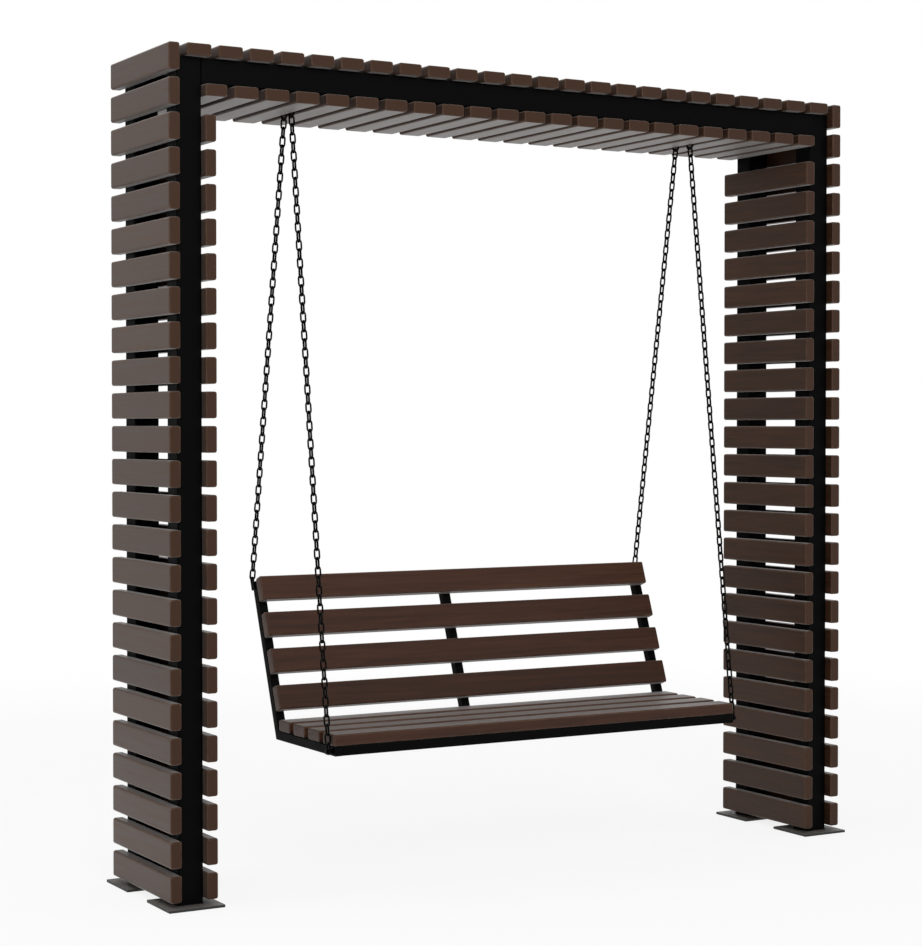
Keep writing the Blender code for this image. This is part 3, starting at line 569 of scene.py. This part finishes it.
def make_roof_slats():
    """The slats that lie on the beams: length along Y, width along X."""
    first = -POST_OUTER_X + ROOF_PITCH - SLAT_WIDTH / 2
    x = first + ROOF_PITCH * np.arange(ROOF_SLATS)
    middle_z = np.full(ROOF_SLATS, ROOF_UNDER_Z + SLAT_THICKNESS / 2)
    spots = np.column_stack((x, np.zeros(ROOF_SLATS), middle_z))
    solid("roof_slats", "portal", TIMBER_ALONG_Y,
          [(placed(LONG_SLAT, (Y, X, Z), spots), False)], ["front_beam_with_roof"])


def make_beams():
    """The front and the rear beam, each with a weld round both its ends."""
    half = POST_SIDE / 2
    reach = POST_INNER_X - FIT_GAP
    middle_z = (BEAM_UNDER_Z + ROOF_UNDER_Z) / 2
    beams = (("front_beam", -POST_Y, "front_beam_with_roof"), ("back_beam", POST_Y, "rear_beam"))
    for name, y, node in beams:
        form = tube((-reach, y - half, BEAM_UNDER_Z), (reach, y + half, ROOF_UNDER_Z - FIT_GAP), 0,
                    POST_CORNER)
        parts = [(form, False)]
        for side in (-1, 1):
            spot = (side * (POST_INNER_X - WELD_LIFT), y, middle_z)
            loop = square_loop(spot, POST_SIDE - 2 * WELD_LIFT, POST_CORNER, (Y, Z))
            parts.append((as_drawn(bead(loop, BEAM_WELD, WELD_SIDES)), True))
        solid(name, "portal", BLACK_STEEL, parts, [node])


def make_ceiling():
    """The slats under the beams, and over them the two bars that the eye bolts go through."""
    for k in range(ROOF_SLATS - 1):
        node = f"ceiling_slat_{k + 1:02d}"
        low, high = (np.array(corner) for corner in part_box(node))
        form = board((high - low)[[1, 0, 2]], PORTAL_BOARD_EDGE, 3, BOARD_END_EDGE, 2)
        solid(f"ceiling_board_{k + 1:02d}", "portal", TIMBER_ALONG_Y,
              [(placed(form, (Y, X, Z), (low + high) / 2), False)], [node])
    for word, _ in SIDES:
        node = f"{word}_hanger_bar"
        low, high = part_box(node)
        solid(f"{word}_hanging_bar", "portal", BLACK_STEEL,
              [(tube(low, high, 1, BAR_CORNER), False)], [node])


def make_eye_bolts():
    """Ring, shank, washer, nut and thread end of each bolt that a chain hangs from."""
    washer = BEAM_UNDER_Z + BAR_SIDE + FIT_GAP - EYE_CENTRE_Z
    nut = washer + EYE_WASHER_HEIGHT
    nut_top = nut + EYE_NUT_HEIGHT
    tip = nut_top + EYE_TAIL
    thread = EYE_SHANK_RADIUS - THREAD_DEPTH
    chamfer = (0.0008, 0.0007)
    profile = [(EYE_RADIUS + EYE_WIRE / 2, EYE_SHANK_RADIUS), (washer, EYE_SHANK_RADIUS),
               (washer, EYE_WASHER_RADIUS), (nut, EYE_WASHER_RADIUS),
               *band(nut, nut_top, EYE_NUT_RADIUS, chamfer, chamfer),
               (nut_top, thread), (tip - 0.0005, thread), (tip, thread - 0.0006)]
    shank = lathe(profile, 24, hexagon=(5, 6))
    eye = torus(EYE_RADIUS, EYE_WIRE, 40, 12)
    for word, side in SIDES:
        for end, x, y in (("rear", REAR_CHAIN_X, REAR_TOP[1]), ("front", FRONT_CHAIN_X, FRONT_TOP[1])):
            spot = (side * x, y, EYE_CENTRE_Z)
            parts = [(placed(shank, (Z, X, Y), spot), False), (placed(eye, np.eye(3), spot), True)]
            solid(f"{word}_{end}_eye", "portal", CHAIN_STEEL, parts,
                  [f"{word}_{end}_eye_bolt"], smooth_normals=False)


# --- chains ---

def chain_links(top, low, count):
    """Links between two bow middles: link k's middle is the top plus (k + 1/2) of the pitch and
    half a wire down the chain, and every second link is turned a quarter about the chain."""
    down = low - top
    length = np.linalg.norm(down)
    down = down / length
    pitch = (length - CHAIN_WIRE) / count
    form = link(pitch, LINK_WIDTH, CHAIN_WIRE * DRAWN_WIRE_SHARE, 5, 6)
    steps = np.arange(count)
    spots = top + down * ((steps + 0.5) * pitch + CHAIN_WIRE / 2)[:, None]
    back = np.cross(down, X)
    flat = placed(form, (X, back, -down), spots[::2])
    edgewise = placed(form, (back, -X, -down), spots[1::2])
    return [(flat, True), (edgewise, True)]


def make_chains():
    """Rear chains from their rings to the lugs, and front chains from theirs to the bolts."""
    for word, side in SIDES:
        shift = np.array((side * REAR_CHAIN_X, 0, 0))
        solid(f"{word}_rear_links", "rear_chains", CHAIN_STEEL,
              chain_links(REAR_TOP + shift, REAR_LOW + shift, REAR_LINKS), [f"{word}_rear_chain"])
        shift = np.array((side * FRONT_CHAIN_X, 0, 0))
        along = (FRONT_LOW - FRONT_TOP) / np.linalg.norm(FRONT_LOW - FRONT_TOP)
        low = FRONT_LOW + along * BOLT_TO_BOW
        solid(f"{word}_front_links", "front_chains", CHAIN_STEEL,
              chain_links(FRONT_TOP + shift, low + shift, FRONT_LINKS), [f"{word}_front_chain"])


# --- bench ---

def back_point(along, behind):
    """A point that lies so far up the back and so far behind its front plane."""
    return UPRIGHT_FOOT + UP_THE_BACK * along + BEHIND_THE_BACK * behind


def level_point(height, behind):
    """The point at a height over the ground that lies so far behind the back's front plane."""
    rise = height - RAIL_TOP_Z + behind * math.sin(BACK_LEAN)
    return back_point(rise / math.cos(BACK_LEAN), behind)


def frame_outlines():
    """The frame tube's outline with its normals, and the smaller outline at a sawn end."""
    outline, way, _ = rounded_square(FRAME_SIDE, FRAME_SIDE, FRAME_CORNER, 3)
    side = FRAME_SIDE - 2 * SAWN_EDGE
    return outline, way, rounded_square(side, side, FRAME_CORNER - SAWN_EDGE / 2, 3)[0]


def seat_rail(middle_x, front_y):
    """A level tube from its sawn front end to the mitre. Each point of the last ring slides
    along the tube to the line between the joint's outer corner and its inner one."""
    outline, way, small = frame_outlines()
    columns = len(outline)
    inner = level_point(RAIL_TOP_Z, 0)[1]
    outer = level_point(RAIL_UNDER_Z, FRAME_SIDE)[1]
    mitre = outer + (inner - outer) * (outline[:, 1] / FRAME_SIDE + 0.5)
    middle_z = (RAIL_TOP_Z + RAIL_UNDER_Z) / 2
    rows = []
    for shape, y in ((small, front_y), (outline, front_y + SAWN_EDGE), (outline, mitre)):
        rows.append(np.column_stack((middle_x + shape[:, 0], np.full(columns, y), middle_z + shape[:, 1])))
    sides = np.column_stack((way[:, 0], np.zeros(columns), way[:, 1]))
    front = np.tile(-Y, (columns, 1))
    return np.stack(rows), np.stack((front, sides, sides)), np.zeros((3, columns))


def upright(middle_x):
    """A leaning tube from the mitre, which it reaches as the seat rail does, to its sawn end."""
    outline, way, small = frame_outlines()
    columns = len(outline)
    inner = (level_point(RAIL_TOP_Z, 0) - UPRIGHT_FOOT) @ UP_THE_BACK
    outer = (level_point(RAIL_UNDER_Z, FRAME_SIDE) - UPRIGHT_FOOT) @ UP_THE_BACK
    mitre = inner + (outer - inner) * (outline[:, 1] / FRAME_SIDE + 0.5)
    rows = []
    for shape, along in ((outline, mitre), (outline, UPRIGHT_END - SAWN_EDGE), (small, UPRIGHT_END)):
        along = np.broadcast_to(along, columns)
        spot = UPRIGHT_FOOT + along[:, None] * UP_THE_BACK
        spot = spot + (shape[:, 1:2] + FRAME_SIDE / 2) * BEHIND_THE_BACK
        spot[:, 0] = middle_x + shape[:, 0]
        rows.append(spot)
    sides = way[:, :1] * X + way[:, 1:2] * BEHIND_THE_BACK
    top = np.tile(UP_THE_BACK, (columns, 1))
    return np.stack(rows), np.stack((sides, sides, top)), np.zeros((3, columns))


def frame_tubes(low_x, high_x, front_y):
    """A welded side frame: a seat rail and an upright whose ends meet on the mitre."""
    middle_x = (low_x + high_x) / 2
    return [(as_drawn(seat_rail(middle_x, front_y)), False), (as_drawn(upright(middle_x)), False)]


def make_lugs():
    """A flat plate on each upright's upper end: a half circle round the chain's hole, and a
    straight tail down the tube."""
    up_chain = (REAR_TOP - REAR_LOW) / np.linalg.norm(REAR_TOP - REAR_LOW)
    hole = REAR_LOW - up_chain * (LUG_HOLE_RADIUS - CHAIN_WIRE / 2 - BEARING_PLAY)
    tail = (hole - UPRIGHT_FOOT) @ UP_THE_BACK - (UPRIGHT_END - LUG_TAIL)
    half = LUG_WIDTH / 2
    turn = np.linspace(0, math.pi, 15)
    outline = [(half * math.sin(t), half * math.cos(t)) for t in turn]
    down = np.linspace(0, -tail, 6)[1:]
    outline += [(u, -half) for u in down] + [(-tail, v) for v in (-half / 2, 0, half / 2)]
    outline += [(u, half) for u in down[::-1]]
    form = plate_with_hole(outline, LUG_HOLE_RADIUS, LUG_THICKNESS, LUG_EDGE)
    for word, side in SIDES:
        spot = hole + np.array((side * REAR_CHAIN_X, 0, 0))
        solid(f"{word}_back_lug", "bench", BLACK_STEEL,
              [(placed(form, (X, UP_THE_BACK, BEHIND_THE_BACK), spot), True)], [f"{word}_rear_lug"])


def make_chain_bolts():
    """Thread end, nut, shank, collar, washer and head of the bolts at the seat's front corners,
    from the inside outwards. The front chain's last bow turns between collar and washer."""
    nut = BENCH_END_X - FRAME_SIDE - FIT_GAP
    nut_end = nut - BOLT_NUT_HEIGHT
    collar = BENCH_END_X + FIT_GAP
    collar_end = collar + COLLAR_LENGTH
    washer = FRONT_CHAIN_X + CHAIN_WIRE / 2 + FIT_GAP
    head = washer + BOLT_WASHER_HEIGHT
    tip = nut_end - BOLT_TAIL
    head_end = head + BOLT_HEAD_HEIGHT
    turned, pressed = (0.0004, 0.0004), (0.0002, 0.0002)
    profile = [(tip, BOLT_RADIUS - 0.0006), (tip + 0.0005, BOLT_RADIUS), (nut_end, BOLT_RADIUS),
               *band(nut_end, nut, BOLT_NUT_RADIUS, (0.0007, 0.0007), (0.0005, 0.0005)),
               (nut, BOLT_RADIUS), (collar, BOLT_RADIUS),
               *band(collar, collar_end, COLLAR_RADIUS, turned, turned),
               (collar_end, BOLT_RADIUS), (washer, BOLT_RADIUS),
               *band(washer, head, BOLT_WASHER_RADIUS, pressed, pressed),
               (head, BOLT_NUT_RADIUS), (head_end - 0.0008, BOLT_NUT_RADIUS),
               (head_end, BOLT_NUT_RADIUS - 0.001)]
    form = lathe(profile, 36, hexagon=(4, 5, 19, 20))
    for word, side in SIDES:
        solid(f"{word}_seat_bolt", "bench", CHAIN_STEEL,
              [(placed(form, (side * X, Y, Z), FRONT_LOW), False)], [f"{word}_chain_bolt"],
              smooth_normals=False)


def make_bench():
    """The three welded frames, the front rail between them, and the seat's and back's slats."""
    inner_x = BENCH_END_X - FRAME_SIDE
    butt_y = SEAT_FRONT_Y + FRAME_SIDE + FIT_GAP
    places = (("left_frame", -BENCH_END_X, -inner_x, SEAT_FRONT_Y),
              ("middle_frame", MIDDLE_FRAME_X - FRAME_SIDE / 2, MIDDLE_FRAME_X + FRAME_SIDE / 2, butt_y),
              ("right_frame", inner_x, BENCH_END_X, SEAT_FRONT_Y))
    for node, low, high, front_y in places:
        solid(f"{node}_tubes", "bench", BLACK_STEEL, frame_tubes(low, high, front_y), [node])
    low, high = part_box("front_rail")
    solid("front_rail_tube", "bench", BLACK_STEEL,
          [(tube(low, high, 0, FRAME_CORNER), False)], ["front_rail"])
    size = (2 * BENCH_END_X, SLAT_WIDTH, SLAT_THICKNESS)
    form = board(size, BENCH_BOARD_EDGE, 4, BOARD_END_EDGE, 3)
    for k in range(4):
        low, high = (np.array(corner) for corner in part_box(f"seat_slat_{k + 1}"))
        solid(f"seat_board_{k + 1}", "bench", TIMBER_ALONG_X,
              [(placed(form, np.eye(3), (low + high) / 2), False)], [f"seat_slat_{k + 1}"])
        along = BACK_REACH - k * BACK_PITCH - SLAT_WIDTH / 2
        spot = back_point(along, -FIT_GAP - SLAT_THICKNESS / 2)
        solid(f"back_board_{k + 1}", "bench", TIMBER_ALONG_X,
              [(placed(form, (X, UP_THE_BACK, BEHIND_THE_BACK), spot), False)], [f"back_slat_{k + 1}"])


make_legs()
make_roof_slats()
make_beams()
make_ceiling()
make_eye_bolts()
make_chains()
make_bench()
make_lugs()
make_chain_bolts()


# --- studio ---

def shown_rays(tree):
    """1 for rays from the camera, mirrored rays and rays through glass, and 0 for others."""
    rays = add(tree, "ShaderNodeLightPath")
    seen = add(tree, "ShaderNodeMath", {0: rays.outputs["Is Camera Ray"], 1: rays.outputs["Is Glossy Ray"]},
               operation="MAXIMUM")
    shown = add(tree, "ShaderNodeMath", {0: seen.outputs[0], 1: rays.outputs["Is Transmission Ray"]},
                operation="MAXIMUM")
    return shown.outputs[0]


def make_floor():
    """A pale floor that fades to the white background far from the object."""
    mesh = bpy.data.meshes.new("floor")
    reach = 60.0
    mesh.from_pydata([(-reach, -reach, 0), (reach, -reach, 0), (reach, reach, 0), (-reach, reach, 0)],
                     [], [(0, 1, 2, 3)])
    floor = bpy.data.objects.new("floor", mesh)
    bpy.context.scene.collection.objects.link(floor)
    material, tree, shader = new_material("pale_floor")
    shader.inputs["Base Color"].default_value = linear("#ffffff")
    shader.inputs["Roughness"].default_value = 0.8
    coords = add(tree, "ShaderNodeTexCoord")
    far = add(tree, "ShaderNodeVectorMath", {0: coords.outputs["Object"]}, operation="LENGTH")
    # The floor turns white between 2.4 m and 6.5 m from the object's middle
    fade = add(tree, "ShaderNodeMapRange", {0: far.outputs["Value"], 1: 2.4, 2: 6.5},
               interpolation_type="SMOOTHSTEP")
    glow = add(tree, "ShaderNodeEmission", {"Color": (1, 1, 1, 1), "Strength": 1.0})
    # The rest of the floor near the object is lit, which keeps its shadow
    glow_share = add(tree, "ShaderNodeMapRange", {0: fade.outputs[0], 3: 0.84, 4: 1.0})
    share = add(tree, "ShaderNodeMath", {0: glow_share.outputs[0], 1: shown_rays(tree)}, operation="MULTIPLY")
    mixed = add(tree, "ShaderNodeMixShader", {0: share.outputs[0], 1: shader.outputs[0], 2: glow.outputs[0]})
    tree.links.new(mixed.outputs[0], tree.nodes["Material Output"].inputs["Surface"])
    mesh.materials.append(material)


def make_world():
    """White where it is seen or mirrored, and a plain even light elsewhere."""
    world = bpy.data.worlds.new("studio")
    bpy.context.scene.world = world
    world.use_nodes = True
    tree = world.node_tree
    strength = add(tree, "ShaderNodeMapRange", {0: shown_rays(tree), 3: 0.55, 4: 1.0})
    background = tree.nodes["Background"]
    background.inputs["Color"].default_value = (1, 1, 1, 1)
    tree.links.new(strength.outputs[0], background.inputs["Strength"])


def make_lamp(name, spot, size, watts):
    """A soft rectangular lamp that faces the middle of the portal, 1.2 m over the ground."""
    lamp = bpy.data.lights.new(name, "AREA")
    lamp.shape = "RECTANGLE"
    lamp.size, lamp.size_y = size
    lamp.energy = watts
    obj = bpy.data.objects.new(name, lamp)
    bpy.context.scene.collection.objects.link(obj)
    spot = np.array(spot, float)
    toward = np.array((0, 0, 1.2)) - spot
    toward /= np.linalg.norm(toward)
    obj.location = spot
    obj.rotation_euler = (math.acos(-toward[2]), 0, math.atan2(toward[1], toward[0]) - math.pi / 2)


def make_flag():
    """A black studio flag that only mirrored rays meet. It keeps the white background out of the
    gloss of the right leg's inner slats."""
    left, right, y, top = -2.3, -0.1, 4, 3.6
    mesh = bpy.data.meshes.new("flag")
    mesh.from_pydata([(left, y, 0), (right, y, 0), (right, y, top), (left, y, top)], [], [(0, 1, 2, 3)])
    flag = bpy.data.objects.new("flag", mesh)
    bpy.context.scene.collection.objects.link(flag)
    material, _, shader = new_material("black_flag")
    shader.inputs["Base Color"].default_value = linear("#000000")
    shader.inputs["Roughness"].default_value = 1.0
    mesh.materials.append(material)
    flag.visible_camera = False
    flag.visible_diffuse = False
    flag.visible_shadow = False


def make_camera():
    """The photograph's own viewpoint, solved from the rows of slats."""
    camera = bpy.data.cameras.new("camera")
    camera.sensor_fit = "HORIZONTAL"
    camera.sensor_width = 36
    camera.lens = 84.08
    camera.clip_end = 200
    obj = bpy.data.objects.new("camera", camera)
    bpy.context.scene.collection.objects.link(obj)
    obj.location = (-3.6926, -6.1458, 1.4313)
    obj.rotation_euler = [math.radians(angle) for angle in (88.7835, 0, -30.0315)]
    bpy.context.scene.camera = obj


make_floor()
make_flag()
make_world()
make_lamp("left_lamp", (-5.5, 0.5, 4.0), (3.0, 3.0), 60)
make_lamp("front_lamp", (-2.0, -6.0, 5.0), (4.0, 3.0), 175)
make_camera()
bpy.context.scene.view_settings.view_transform = "Standard"
